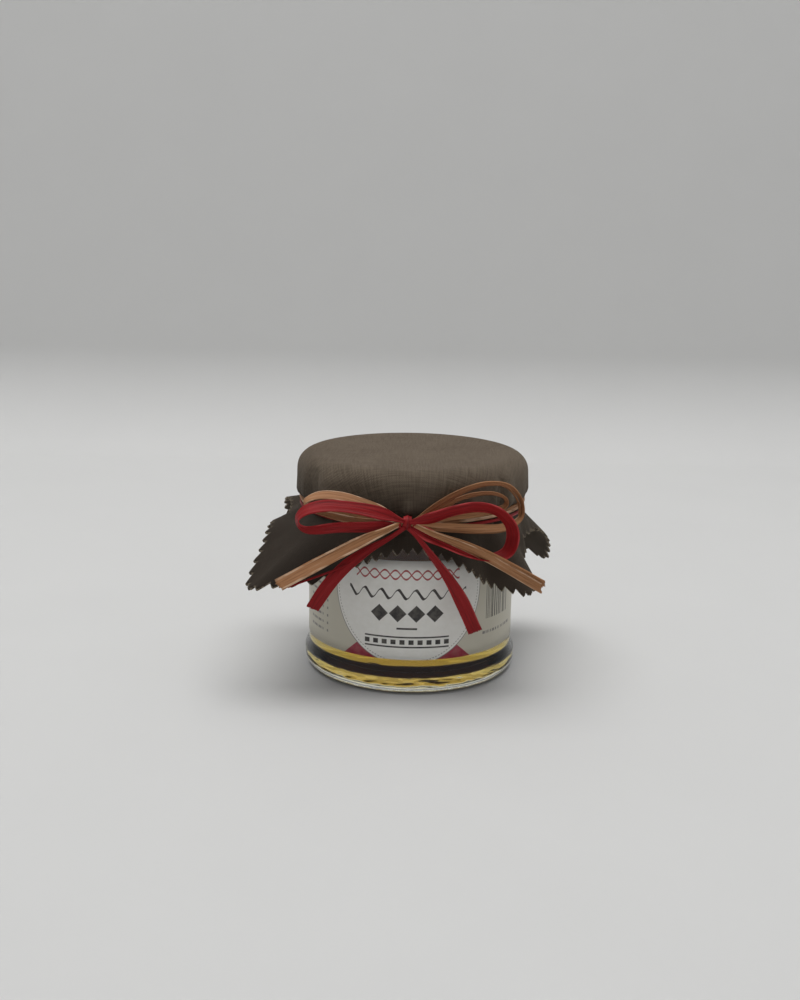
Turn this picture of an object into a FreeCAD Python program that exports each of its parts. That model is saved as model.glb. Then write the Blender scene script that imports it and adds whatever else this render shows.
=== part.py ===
import FreeCAD, Part
import math
import os

# A squat glass jar of caramel sauce, closed by a metal twist-off lid. A square of pinked cloth covers the
# lid and is gathered under its rim by raffia and a red ribbon, tied together in a bow at the front.
# Millimetres, +Z up. The origin is the centre of the foot, and the bow faces -Y.

NODES = ["glass_jar", "caramel", "label", "lid", "cloth_cover",
         "raffia_tie", "raffia_strand", "red_ribbon"]

SIZES = [
    # the glass
    ("glass_height", 70.0),       # foot to sealing rim
    ("body_diameter", 67.0),      # straight wall, outside
    ("glass_wall", 2.6),
    ("glass_floor", 4.5),
    ("bulge_rise", 1.3),          # the thicker ring at the foot stands out from the wall by this
    ("bulge_flat", 5.4),          # height where the bulge starts to run out
    ("bulge_height", 8.8),        # height where it has run out into the wall
    ("heel_round", 4.6),
    ("floor_round", 4.0),         # inside corner of the floor
    # the sauce
    ("head_space", 13.0),         # sealing rim to the sauce
    # the label, a paper strip round the wall whose ends meet at the back, on the right
    ("label_height", 31.8),
    ("label_clearance", 2.5),     # above the bulge
    ("label_thickness", 0.15),
    ("label_gap", 0.6),           # degrees between its ends
    ("label_seam_turn", 40.0),    # degrees from the middle of the back to the ends
    # the lid
    ("lid_overhang", 2.5),        # beyond the glass wall
    ("lid_height", 11.0),
    ("lid_sheet", 0.5),
    ("lid_round", 4.0),
    ("thread_room", 2.6),         # between the lid's wall and the glass finish
    ("rim_clearance", 0.15),      # round the glass finish, inside the lid's panel
    ("bead_radius", 0.7),         # rolled edge of the lid
    # the cloth
    ("cloth_side", 128.0),
    ("cloth_thickness", 0.7),
    ("cloth_right", 0.5),         # the square lies off centre by this, to the right
    ("cloth_back", 3.0),          # and by this, to the back
    ("cloth_slack", 0.8),         # between the lid's wall and the cloth
    ("cloth_lift", 0.1),          # between the lid's panel and the cloth
    ("teeth_per_side", 25.0),     # of the pinked edge
    ("tooth_depth", 2.4),
    ("corner_trim", 1.8),         # taken off the square's four corner points
    ("tie_drop", 3.0),            # from the lid's lower edge down to the tie
    ("tie_clearance", 1.1),       # between the glass and the cloth at the tie
    ("pleat_depth", 0.5),         # half the ripple of the cloth at the tie
    ("pleat_count", 17.0),
    ("skirt_turn", 6.2),          # length over which the cloth bends outward below the tie
    # the bow
    ("ribbon_width", 4.4),
    ("ribbon_thickness", 0.35),
    ("raffia_width", 3.2),
    ("raffia_thickness", 0.35),
    ("strand_width", 2.4),        # the loose second strand of raffia
    ("raffia_band", 2.0),         # height of each band round the neck, where it bunches
    ("raffia_core", 0.9),         # thickness of the raffia inside the knot
    ("raffia_root", 0.896),       # width that each strip is squeezed to inside the knot
    ("ribbon_root", 1.232),
    ("ribbon_band", 1.0),
    ("band_gap", 0.5),            # from the raffia's band down to the ribbon's
    ("wrap_radius", 2.1),         # the ribbon's turn round the raffia at the knot
    ("wrap_wall", 0.6),
    ("wrap_length", 2.7),
    ("tie_seat", 0.3),            # between the cloth's ripples and the bands
]

# The gathers of the skirt, by direction round the jar in degrees: how far it leans out from the vertical,
# the share of the cloth's length that is left after its folds, and how far the cloth is drawn sideways
SKIRT_LEAN = [(5, 28), (22, 47), (38, 41), (90, 20), (130, 30), (156, 78), (174, 50), (197, 72), (219, 56),
              (238, 31), (272, 14), (300, 26), (317, 38), (345, 13)]
SKIRT_SHARE = [(22, 1.0), (156, 0.7), (190, 0.95), (215, 1.0), (270, 1.0), (300, 0.98), (318, 0.77),
               (345, 0.84)]
DRAWN_ASIDE = [(0, -1), (45, -9), (90, -2), (134, 6), (180, -2), (224, -5), (250, 0), (317, -1)]
SKIRT_ROWS = 6                    # rows of points from the tie to the edge
RIPPLE_GROWTH = 0.05              # the pleats deepen by this share per millimetre below the lid
KNOT_ACROSS = -1.8                # the knot sits a little left of the middle
SPAN_STEPS = 3                    # straight steps from one station of a strip to the next
GATHER_LENGTH = 8.0               # over which it opens to its full width
CROSSING_REACH = 7.0              # to each side of the knot, where raffia and ribbon rejoin their bands

# Bow. Each station is across, back and up from the knot's centre, then the strip's own turn in degrees:
# 0 with its width from front to back, 90 with its face to the front.
RAFFIA_LOOPS = [
    [
        (-2.0, 0.2, 0.6, 90), (-7.3, 0.6, 3.2, 60), (-13.0, 1.0, 5.6, 45), (-19.5, 1.4, 7.4, 40),
        (-26.0, 2.0, 7.6, 30), (-30.4, 2.8, 5.6, 15), (-29.0, 2.8, 3.2, 30), (-22.0, 1.6, 1.4, 45),
        (-12.0, 0.8, -0.2, 60), (-3.2, 0.1, -0.5, 85),
    ],
    [
        (2.0, 0.2, 0.6, 90), (7.4, 0.6, 4.2, 60), (13.3, 1.0, 8.0, 50), (19.3, 1.6, 10.8, 40),
        (25.0, 2.6, 11.8, 35), (30.5, 4.4, 10.6, 30), (34.2, 6.0, 6.4, 20), (34.6, 6.2, 1.2, 20),
        (30.0, 4.0, -1.6, 45), (21.0, 1.6, -1.8, 70), (11.0, 0.8, -1.4, 75), (3.2, 0.1, -0.5, 85),
    ],
]
RAFFIA_TAILS = [
    [
        (-2.0, -0.1, 0.0, 90), (-8.0, -1.6, -2.4, 75), (-16.0, -3.8, -6.0, 65), (-26.0, -5.8, -11.6, 60),
        (-37.4, -7.2, -17.7, 55),
    ],
    [
        (2.0, -0.1, 0.0, 90), (8.0, -1.6, -2.4, 75), (15.0, -3.8, -5.0, 65), (23.7, -5.4, -8.6, 60),
        (31.0, -7.0, -12.4, 60), (39.3, -8.4, -16.8, 60),
    ],
]
STRAND_LOOP = [
    (7.0, 1.3, 2.9, 75), (12.0, 2.3, 5.2, 50), (19.0, 4.6, 7.6, 40), (25.5, 6.0, 8.0, 35),
    (29.6, 7.2, 6.2, 25), (29.0, 7.2, 3.6, 30), (22.0, 5.0, 2.2, 60), (12.0, 2.4, 1.4, 70),
    (7.0, 1.4, 0.9, 75),
]
RIBBON_LOOPS = [
    [
        (-0.7, -1.75, 0.8, 90), (-8.5, -2.6, 3.6, 60), (-16.5, -3.2, 5.2, 50), (-24.0, -3.4, 5.6, 45),
        (-30.0, -3.2, 4.0, 30), (-32.4, -3.0, 0.9, 15), (-29.4, -3.2, -1.8, 40), (-20.0, -3.2, -0.9, 55),
        (-10.0, -2.6, -0.7, 65), (-1.7, -1.9, -0.3, 85),
    ],
    [
        (0.7, -1.75, 0.6, 90), (7.0, -2.6, 2.2, 60), (13.5, -3.2, 4.6, 55), (20.5, -3.6, 6.0, 50),
        (26.5, -3.6, 4.8, 40), (30.6, -3.4, 0.8, 40), (31.4, -3.2, -4.0, 40), (29.4, -3.4, -8.0, 30),
        (24.0, -3.6, -9.4, 25), (17.5, -3.6, -8.2, 40), (9.5, -3.2, -4.6, 60), (1.7, -1.9, -0.6, 85),
    ],
]
RIBBON_TAILS = [
    [
        (-0.5, -1.7, -1.0, 90), (-5.5, -2.4, -4.4, 75), (-11.5, -3.2, -7.8, 70), (-17.8, -3.6, -12.6, 75),
        (-23.0, -3.2, -18.6, 80), (-27.8, -2.4, -26.2, 80),
    ],
    [
        (0.5, -1.6, -1.2, 90), (3.4, -2.8, -3.8, 75), (7.6, -3.6, -9.0, 70), (12.4, -3.4, -15.6, 75),
        (16.8, -1.6, -23.4, 80), (21.4, 1.4, -34.0, 85),
    ],
]

doc = FreeCAD.newDocument("caramel_jar")
sheet = doc.addObject("Spreadsheet::Sheet", "sizes")
for row, (alias, value) in enumerate(SIZES, start=1):
    sheet.set(f"A{row}", alias)
    sheet.set(f"B{row}", str(value))
    sheet.setAlias(f"B{row}", alias)
doc.recompute()
size = {alias: float(sheet.get(alias)) for alias, value in SIZES}


# Helpers for the turned pieces

def bind(item, **formulas):
    """Ties an object's properties to formulas in the sheet's names, which all start with one word."""
    for target, formula in formulas.items():
        for alias in sorted(size, key=len, reverse=True):
            formula = formula.replace(f"[{alias}]", f"sizes.{alias}")
        item.setExpression(target.replace("__", "."), formula)
    return item


def feature(body, kind, name, **formulas):
    return bind(body.newObject(f"PartDesign::{kind}", name), **formulas)


def fillet_ring(body, name, level, radius, formula):
    """Rounds the circular edge of the body's tip at this level and radius."""
    doc.recompute()
    tip = body.Tip
    found = [f"Edge{i}" for i, edge in enumerate(tip.Shape.Edges, start=1)
             if isinstance(edge.Curve, Part.Circle)
             and abs(edge.Curve.Center.z - level) < 1e-4 and abs(edge.Curve.Radius - radius) < 1e-4]
    rounded = body.newObject("PartDesign::Fillet", name)
    rounded.Base = (tip, found)
    bind(rounded, Radius=formula)


def new_body(label, **placement):
    body = doc.addObject("PartDesign::Body", label)
    body.Label = label
    return bind(body, **placement)


# The glass: a straight wall on a bulging foot, with a plain finish that the lid closes over

glass = new_body("glass_jar")
foot_radius = size["body_diameter"] / 2 + size["bulge_rise"]
inner_radius = size["body_diameter"] / 2 - size["glass_wall"]
feature(glass, "AdditiveCylinder", "foot", Radius="[body_diameter] / 2 + [bulge_rise]",
        Height="[bulge_flat]")
fillet_ring(glass, "heel", 0, foot_radius, "[heel_round]")
feature(glass, "AdditiveCone", "run_out", Radius1="[body_diameter] / 2 + [bulge_rise]",
        Radius2="[body_diameter] / 2", Height="[bulge_height] - [bulge_flat]",
        Placement__Base__z="[bulge_flat]")
feature(glass, "AdditiveCylinder", "wall", Radius="[body_diameter] / 2",
        Height="[glass_height] + [lid_sheet] - [lid_height] - [bulge_height]",
        Placement__Base__z="[bulge_height]")
feature(glass, "AdditiveCylinder", "finish",
        Radius="[body_diameter] / 2 + [lid_overhang] - [lid_sheet] - [thread_room]",
        Height="[glass_height] - [bulge_height]", Placement__Base__z="[bulge_height]")
feature(glass, "SubtractiveCylinder", "cavity", Radius="[body_diameter] / 2 - [glass_wall]",
        Height="[glass_height] - [glass_floor]", Placement__Base__z="[glass_floor]")
fillet_ring(glass, "floor_corner", size["glass_floor"], inner_radius, "[floor_round]")

# The sauce fills the glass, face to face with it

caramel = new_body("caramel", Placement__Base__z="[glass_floor]")
feature(caramel, "AdditiveCylinder", "fill", Radius="[body_diameter] / 2 - [glass_wall]",
        Height="[glass_height] - [glass_floor] - [head_space]")
fillet_ring(caramel, "fill_corner", 0, inner_radius, "[floor_round]")

# The label: a thin sleeve with a narrow gap, turned so that the gap is at the back, on the right

label_outer = bind(doc.addObject("Part::Cylinder", "label_outer"), Height="[label_height]",
                   Radius="[body_diameter] / 2 + [label_thickness]", Angle="360 - [label_gap]")
label_inner = bind(doc.addObject("Part::Cylinder", "label_inner"), Radius="[body_diameter] / 2",
                   Height="[label_height]")
label = doc.addObject("Part::Cut", "label")
label.Base = label_outer
label.Tool = label_inner
label.Label = "label"
label.Placement = FreeCAD.Placement(FreeCAD.Vector(), FreeCAD.Rotation(FreeCAD.Vector(0, 0, 1), 90))
bind(label, Placement__Base__z="[bulge_height] + [label_clearance]",
     Placement__Rotation__Angle="90 - [label_seam_turn] + [label_gap] / 2")

# The lid: a shallow metal cup with a rolled lower edge, its panel resting on the sealing rim

lid = new_body("lid", Placement__Base__z="[glass_height] + [lid_sheet] - [lid_height]")
lid_radius = size["body_diameter"] / 2 + size["lid_overhang"]
feature(lid, "AdditiveCylinder", "cup", Radius="[body_diameter] / 2 + [lid_overhang]", Height="[lid_height]")
fillet_ring(lid, "cup_corner", size["lid_height"], lid_radius, "[lid_round]")
feature(lid, "SubtractiveCylinder", "hollow", Radius="[body_diameter] / 2 + [lid_overhang] - [lid_sheet]",
        Height="[lid_height] - [lid_sheet] - [lid_round]")
feature(lid, "SubtractiveCylinder", "panel_hollow",
        Radius="[body_diameter] / 2 + [lid_overhang] - [lid_sheet] - [thread_room] + [rim_clearance]",
        Height="[lid_height] - [lid_sheet]")
feature(lid, "AdditiveTorus", "bead", Radius1="[body_diameter] / 2 + [lid_overhang] - [bead_radius]",
        Radius2="[bead_radius]", Placement__Base__z="[bead_radius]")


# Levels and radii that the cloth and the bow share
lid_top = size["glass_height"] + size["lid_sheet"]
tie_level = lid_top - size["lid_height"] - size["tie_drop"]
hung_radius = lid_radius + size["cloth_slack"] + size["cloth_thickness"] / 2
tie_radius = size["body_diameter"] / 2 + size["tie_clearance"] + size["cloth_thickness"] / 2


def between(direction, table):
    """Reads a table of (degrees, value) round the circle, easing from each entry to the next."""
    first, first_value = table[0]
    direction = first + (direction - first) % 360
    entries = table + [(first + 360, first_value)]
    for (start, low), (end, high) in zip(entries, entries[1:]):
        if start <= direction <= end:
            ease = 0.5 - 0.5 * math.cos(math.pi * (direction - start) / (end - start))
            return low + (high - low) * ease


def hung_profile():
    """The cloth's middle from the lid's centre down to the tie, as (radius, height) stations."""
    bend = size["lid_round"] + size["cloth_slack"] + size["cloth_thickness"] / 2
    top = size["cloth_lift"] + size["cloth_thickness"] / 2
    stations = [(0.0, top), (hung_radius - bend, top)]
    for step in range(1, 6):
        turn = math.radians(18 * step)
        stations.append((hung_radius - bend + bend * math.sin(turn), top - bend + bend * math.cos(turn)))
    lid_edge = -size["lid_height"]
    stations.append((hung_radius, lid_edge))
    for share in (0.33, 0.67, 1.0):
        ease = 0.5 - 0.5 * math.cos(math.pi * share)
        drawn_in = (tie_radius - hung_radius) * ease
        stations.append((hung_radius + drawn_in, lid_edge - size["tie_drop"] * share))
    return stations


def square_point(share, inset):
    """This share of the way round the flat square, as (distance, direction) from the lid's centre."""
    side, along = divmod(share * 4, 1)
    half = size["cloth_side"] / 2
    across, up = half - inset, (half - inset) * (2 * along - 1)
    turn = math.radians(90 * side)
    x = across * math.cos(turn) - up * math.sin(turn) + size["cloth_right"]
    y = across * math.sin(turn) + up * math.cos(turn) + size["cloth_back"]
    return math.hypot(x, y), math.atan2(y, x)


def hung_direction(direction):
    """Where a direction on the flat square lies once the cloth is tied."""
    return direction + math.radians(between(math.degrees(direction), DRAWN_ASIDE))


def skirt_point(direction, slack):
    """(radius, height) on the skirt, this much cloth below the tie: a bend, then a straight hang."""
    lean = math.radians(between(math.degrees(direction), SKIRT_LEAN))
    turn = size["skirt_turn"]
    bent = min(slack, turn)
    radius = tie_radius + turn / lean * (1 - math.cos(lean * bent / turn))
    height = -size["lid_height"] - size["tie_drop"] - turn / lean * math.sin(lean * bent / turn)
    straight = max(slack - turn, 0)
    return radius + straight * math.sin(lean), height - straight * math.cos(lean)


def cloth_line(share, inset):
    """One line of the gathered cloth from near the lid's centre to its edge, as (front, back) pairs."""
    reach, flat_direction = square_point(share, inset)
    direction = hung_direction(flat_direction)
    hung = hung_profile()
    used = sum(math.dist(start, end) for start, end in zip(hung, hung[1:]))
    slack = (reach - used) * between(math.degrees(direction), SKIRT_SHARE)
    skirt = [skirt_point(direction, row / SKIRT_ROWS * slack) for row in range(1, SKIRT_ROWS + 1)]
    line = hung + skirt
    half = size["cloth_thickness"] / 2
    pairs = []
    for i in range(1, len(line)):
        radius, height = line[i]
        before, after = line[i - 1], line[min(i + 1, len(line) - 1)]
        run = math.dist(before, after)
        out, up = (before[1] - after[1]) / run, (after[0] - before[0]) / run
        below = max(0.0, -size["lid_height"] - height)
        ripple = size["pleat_depth"] * min(1.0, below / size["tie_drop"]) * (1 + RIPPLE_GROWTH * below)
        middle = radius + ripple * math.cos(size["pleat_count"] * direction)
        faces = ((middle + side * out, height + side * up) for side in (half, -half))
        pairs.append([(r * math.cos(direction), r * math.sin(direction), z) for r, z in faces])
    return pairs


class Skin:
    """A closed surface gathered face by face, then made solid."""

    def __init__(self):
        self.points, self.triangles = [], []

    def add(self, *corners):
        first = len(self.points)
        self.points.extend(FreeCAD.Vector(*corner) for corner in corners)
        self.triangles.extend((first, first + i, first + i + 1) for i in range(1, len(corners) - 1))

    def solid(self):
        shell = Part.Shape()
        shell.makeShapeFromMesh((self.points, self.triangles), 0.001)
        return Part.makeSolid(Part.Shell(shell.Faces))


def cloth_solid():
    """Faces between neighbouring lines on both sides, a tooth between each two lines, and the cut edge."""
    columns = int(4 * size["teeth_per_side"])
    lines = [cloth_line((column + 0.5) / columns, size["tooth_depth"]) for column in range(columns)]
    tips = []
    for column in range(1, columns + 1):
        trim = 0.0 if column % size["teeth_per_side"] else size["corner_trim"]
        tips.append(cloth_line(column / columns % 1, trim)[-1])
    under = size["cloth_lift"]
    top = under + size["cloth_thickness"]
    skin = Skin()
    for column, (line, tip) in enumerate(zip(lines, tips)):
        after = lines[(column + 1) % columns]
        skin.add((0, 0, top), line[0][0], after[0][0])
        skin.add((0, 0, under), after[0][1], line[0][1])
        for (near, far), (next_near, next_far) in zip(zip(line, line[1:]), zip(after, after[1:])):
            skin.add(near[0], far[0], next_far[0], next_near[0])
            skin.add(next_near[1], next_far[1], far[1], near[1])
        skin.add(line[-1][0], tip[0], after[-1][0])
        skin.add(after[-1][1], tip[1], line[-1][1])
        skin.add(line[-1][1], tip[1], tip[0], line[-1][0])
        skin.add(tip[1], after[-1][1], after[-1][0], tip[0])
    return skin.solid()


def add_shape(label, shape, place):
    item = doc.addObject("Part::Feature", label)
    item.Label = label
    item.Shape = shape
    item.Placement = FreeCAD.Placement(place, FreeCAD.Rotation())


add_shape("cloth_cover", cloth_solid(), FreeCAD.Vector(0, 0, lid_top))


# The bow. Its pieces are flat strips that share a knot at the front of the neck.

def smooth(stations):
    """A smooth run through stations: each span is a cubic, level with the line between its neighbours."""
    padded = [stations[0]] + list(stations) + [stations[-1]]
    run = []
    for span in zip(padded, padded[1:], padded[2:], padded[3:]):
        for step in range(SPAN_STEPS):
            u = step / SPAN_STEPS
            weights = (-u + 2 * u ** 2 - u ** 3, 2 - 5 * u ** 2 + 3 * u ** 3,
                       u + 4 * u ** 2 - 3 * u ** 3, u ** 3 - u ** 2)
            mixed = [sum(w * value for w, value in zip(weights, values)) / 2 for values in zip(*span)]
            run.append(tuple(mixed))
    return run + [stations[-1]]


def strip(stations, width, thickness, root):
    """A flat strip through stations (across, back, up, turn), of root width where the knot grips it."""
    run = smooth(stations)
    middles = [knot + FreeCAD.Vector(*station[:3]) for station in run]
    sections = []
    for i, middle in enumerate(middles):
        along = (middles[min(i + 1, len(middles) - 1)] - middles[max(i - 1, 0)]).normalize()
        depth = FreeCAD.Vector(0, 1, 0)
        depth = (depth - along * depth.dot(along)).normalize()
        turn = math.radians(run[i][3])
        opened = min(width, root + (width - root) * middle.distanceToPoint(knot) / GATHER_LENGTH)
        wide = (depth * math.cos(turn) + depth.cross(along) * math.sin(turn)) * (opened / 2)
        thick = wide.cross(along).normalize() * (thickness / 2)
        sections.append([middle + wide + thick, middle - wide + thick,
                         middle - wide - thick, middle + wide - thick])
    skin = Skin()
    skin.add(*reversed(sections[0]))
    skin.add(*sections[-1])
    for here, there in zip(sections, sections[1:]):
        for corner in range(4):
            after = (corner + 1) % 4
            skin.add(here[corner], here[after], there[after], there[corner])
    return skin.solid()


def joined(pieces):
    """One solid from pieces that overlap where they are tied."""
    whole = pieces[0]
    for piece in pieces[1:]:
        whole = whole.fuse(piece)
    return whole


def crossing(band_radius, up, width, thickness):
    """The stretch that leaves the band round the neck, passes through the knot and joins the band again."""
    stations = []
    for across in (-CROSSING_REACH, -0.5 * CROSSING_REACH, 0.0, 0.5 * CROSSING_REACH, CROSSING_REACH):
        on_band = -math.sqrt(band_radius ** 2 - (knot.x + across) ** 2) - knot.y
        pull = 0.5 + 0.5 * math.cos(math.pi * across / CROSSING_REACH)
        stations.append((across, on_band * (1 - pull), up, 90))
    return strip(stations, width, thickness, width)


def neck_band(inner, thickness, low, tall):
    base = FreeCAD.Vector(0, 0, tie_level + low)
    outer = Part.makeCylinder(inner + thickness, tall, base)
    return outer.cut(Part.makeCylinder(inner, tall, base))


# Each band clears the cloth where the tuck above the tie, or the skirt below it, stands out furthest
tuck_rise = (hung_radius - tie_radius) / 4
raffia_inner = (tie_radius + tuck_rise + size["cloth_thickness"] / 2 + size["pleat_depth"]
                + size["tie_seat"])
ribbon_inner = raffia_inner + size["tie_seat"]
knot = FreeCAD.Vector(KNOT_ACROSS, -ribbon_inner - size["ribbon_thickness"] - size["wrap_radius"], tie_level)
raffia_low = -size["raffia_band"] / 2
ribbon_low = raffia_low - size["band_gap"] - size["ribbon_band"]

raffia = [neck_band(raffia_inner, size["raffia_thickness"], raffia_low, size["raffia_band"]),
          crossing(raffia_inner + size["raffia_thickness"] / 2, 0, size["raffia_band"], size["raffia_core"])]
raffia += [strip(line, size["raffia_width"], size["raffia_thickness"], size["raffia_root"])
           for line in RAFFIA_LOOPS + RAFFIA_TAILS]

wrap_end = knot - FreeCAD.Vector(size["wrap_length"] / 2, 0, 0)
sideways = FreeCAD.Vector(1, 0, 0)
wrap = Part.makeCylinder(size["wrap_radius"], size["wrap_length"], wrap_end, sideways)
wrap = wrap.cut(Part.makeCylinder(size["wrap_radius"] - size["wrap_wall"], size["wrap_length"],
                                  wrap_end, sideways))
ribbon = [wrap,
          neck_band(ribbon_inner, size["ribbon_thickness"], ribbon_low, size["ribbon_band"]),
          crossing(ribbon_inner + size["ribbon_thickness"] / 2, ribbon_low + size["ribbon_band"] / 2,
                   size["ribbon_band"], size["ribbon_thickness"])]
ribbon += [strip(line, size["ribbon_width"], size["ribbon_thickness"], size["ribbon_root"])
           for line in RIBBON_LOOPS + RIBBON_TAILS]

add_shape("raffia_tie", joined(raffia), FreeCAD.Vector())
add_shape("raffia_strand", strip(STRAND_LOOP, size["strand_width"], size["raffia_thickness"],
                                 size["strand_width"]), FreeCAD.Vector())
add_shape("red_ribbon", joined(ribbon), FreeCAD.Vector())


# Every piece is checked, then written to its own file

doc.recompute()
os.makedirs("parts", exist_ok=True)
for node in NODES:
    item = doc.getObjectsByLabel(node)[0]
    if "Invalid" in item.State or "Error" in item.State:
        raise RuntimeError(f"{node} did not build: {item.State}")
    if item.Shape.isNull() or not item.Shape.isValid() or len(item.Shape.Solids) != 1:
        raise RuntimeError(f"{node} is not one valid solid")
for item in doc.Objects:
    if "Invalid" in item.State or "Error" in item.State:
        raise RuntimeError(f"{item.Label} did not build: {item.State}")
for node in NODES:
    shape = doc.getObjectsByLabel(node)[0].Shape
    shape.exportStep(f"parts/{node}.step")
    print(f"{node}: {shape.Volume:.0f} mm3, {len(shape.Faces)} faces")
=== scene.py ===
# %% [markdown]
# # A jar of caramel sauce with a cloth cover
# A squat glass jar of dark caramel stands on a table. A square of brown cloth with a pinked edge covers
# its lid, and a bow of raffia and red paper ribbon gathers the cloth under the rim.
# The jar was already built as solids with real sizes. This lesson gives each piece the surface that it
# has on a shop shelf. Each new piece is a formula that numpy works out on a grid.

# %% Tools and the solid model
import math

import bmesh
import bpy
import numpy as np
from mathutils import Matrix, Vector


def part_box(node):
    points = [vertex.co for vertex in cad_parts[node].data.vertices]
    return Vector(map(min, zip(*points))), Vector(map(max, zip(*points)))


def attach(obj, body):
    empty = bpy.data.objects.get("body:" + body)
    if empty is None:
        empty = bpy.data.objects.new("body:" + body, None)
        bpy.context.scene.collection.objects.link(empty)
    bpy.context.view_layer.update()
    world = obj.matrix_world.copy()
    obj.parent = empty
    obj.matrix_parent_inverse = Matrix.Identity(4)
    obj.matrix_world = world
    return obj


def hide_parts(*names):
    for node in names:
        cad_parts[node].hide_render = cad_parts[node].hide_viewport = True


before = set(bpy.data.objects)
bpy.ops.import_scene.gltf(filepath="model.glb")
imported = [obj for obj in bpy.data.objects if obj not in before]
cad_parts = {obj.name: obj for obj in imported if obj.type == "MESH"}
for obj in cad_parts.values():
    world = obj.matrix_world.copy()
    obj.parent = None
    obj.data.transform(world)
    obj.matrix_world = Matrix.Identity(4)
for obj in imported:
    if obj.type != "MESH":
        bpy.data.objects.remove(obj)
MM = 0.001
FULL_TURN = 2 * math.pi


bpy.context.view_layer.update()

# %% [markdown]
# ## Sizes that the pieces share
# The glass, the lid and the label tell where the other pieces go, because the solid model holds their
# real sizes. The few sizes that a piece's box cannot tell, such as a rounding or the cloth's flat side, are
# written again where they are used. Everything below is in millimetres and is turned into metres when a
# mesh is made.

# %% Sizes from the solid model
glass_low, glass_high = [np.array(corner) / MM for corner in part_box("glass_jar")]
label_low, label_high = [np.array(corner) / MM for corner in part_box("label")]
lid_low, lid_high = [np.array(corner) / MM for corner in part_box("lid")]
sauce_low, sauce_high = [np.array(corner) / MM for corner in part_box("caramel")]

LABEL_PAPER = 0.15
wall_radius = label_high[0] - LABEL_PAPER
bulge_radius = glass_high[0]
sauce_radius = sauce_high[0]
lid_radius = lid_high[0]
lid_edge = lid_low[2]
lid_top = lid_high[2]
print(f"wall {wall_radius:.1f}, foot {bulge_radius:.1f}, sauce {sauce_radius:.1f}, lid {lid_radius:.1f} mm")

# %% [markdown]
# ## Two ways to make a surface
# Most pieces here are sheets: points in rows and columns, joined into four-sided faces. One function
# turns such a grid into a mesh. It can close the grid round on itself, as a wall of a jar does, and it
# can store flat coordinates, which let a weave or a print follow the surface.

# %% Grids into meshes
def grid_mesh(name, points, material, wrap_columns=False, flat=None):
    """points[row, column] are millimetres. Each face joins a point to the next in its row and in its
    column. flat[row, column] are two coordinates stored as the map "flat", in millimetres. With
    wrap_columns the last column holds the same places as the first, and they are merged."""
    rows, columns = points.shape[:2]
    kept = columns - 1 if wrap_columns else columns
    index = np.arange(rows * kept).reshape(rows, kept)
    if wrap_columns:
        index = np.concatenate([index, index[:, :1]], axis=1)
    quads = np.stack([index[:-1, :-1], index[:-1, 1:], index[1:, 1:], index[1:, :-1]], axis=-1)
    corner_row = np.arange(rows - 1)[:, None, None] + np.array([0, 0, 1, 1])
    corner_column = np.arange(columns - 1)[None, :, None] + np.array([0, 1, 1, 0])
    corner_row, corner_column = np.broadcast_arrays(corner_row, corner_column)
    mesh = bpy.data.meshes.new(name)
    mesh.from_pydata((points[:, :kept].reshape(-1, 3) * MM).tolist(), [], quads.reshape(-1, 4).tolist())
    if flat is not None:
        layer = mesh.uv_layers.new(name="flat")
        layer.data.foreach_set("uv", flat[corner_row, corner_column].reshape(-1).astype(np.float32))
    mesh.shade_smooth()
    mesh.materials.append(material)
    piece = bpy.data.objects.new(name, mesh)
    bpy.context.scene.collection.objects.link(piece)
    return piece


def close_up(piece, distance=0.001):
    """Merges points that share a place and turns every face outwards."""
    work = bmesh.new()
    work.from_mesh(piece.data)
    bmesh.ops.remove_doubles(work, verts=work.verts, dist=distance * MM)
    bmesh.ops.recalc_face_normals(work, faces=work.faces)
    work.to_mesh(piece.data)
    work.free()
    return piece


# %% [markdown]
# ## Turned shapes
# Glass, sauce and lid are round, so each is an outline of radius and height carried round the axis. A
# rounded corner in the outline is an arc. The outline is written as a list of corners, and a corner with
# a radius is replaced by the arc that touches both of its sides.

# %% Outlines and turning
def rounded_outline(corners, steps=10):
    """corners are (radius, height, rounding). A rounded corner becomes an arc of that size, from the
    point on one side to the point on the other where it touches."""
    places = np.array([corner[:2] for corner in corners], dtype=float)
    line = []
    for i, (radius, height, rounding) in enumerate(corners):
        here = places[i]
        if rounding == 0:
            line.append(here)
            continue
        back = (places[i - 1] - here) / np.linalg.norm(places[i - 1] - here)
        onward = (places[i + 1] - here) / np.linalg.norm(places[i + 1] - here)
        half_angle = math.acos(np.clip(back @ onward, -1, 1)) / 2
        reach = rounding / math.tan(half_angle)
        centre = here + (back + onward) / np.linalg.norm(back + onward) * rounding / math.sin(half_angle)
        start, end = here + back * reach - centre, here + onward * reach - centre
        share = np.linspace(0, 1, steps + 1)[:, None]
        blend = (1 - share) * start + share * end
        line.extend(centre + blend / np.linalg.norm(blend, axis=1)[:, None] * rounding)
    return np.array(line)


def turned(name, line, material, segments=192):
    """The outline carried round the axis: across = radius x cosine, back = radius x sine."""
    turn = np.linspace(0, FULL_TURN, segments + 1)
    radius, height = line[:, 0][:, None], line[:, 1][:, None]
    points = np.stack([radius * np.cos(turn), radius * np.sin(turn), height + 0 * turn], axis=-1)
    return close_up(grid_mesh(name, points, material, wrap_columns=True))


# %% [markdown]
# ## Colours and finishes
# Colours are written as a paint chart gives them, from 0 to 255, and turned into the light that Blender
# adds up. A finish is a Principled shader with a few nodes before it. Most patterns here are simple sums,
# such as a wave or a distance, so a small helper keeps the wiring short enough to read.

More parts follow.
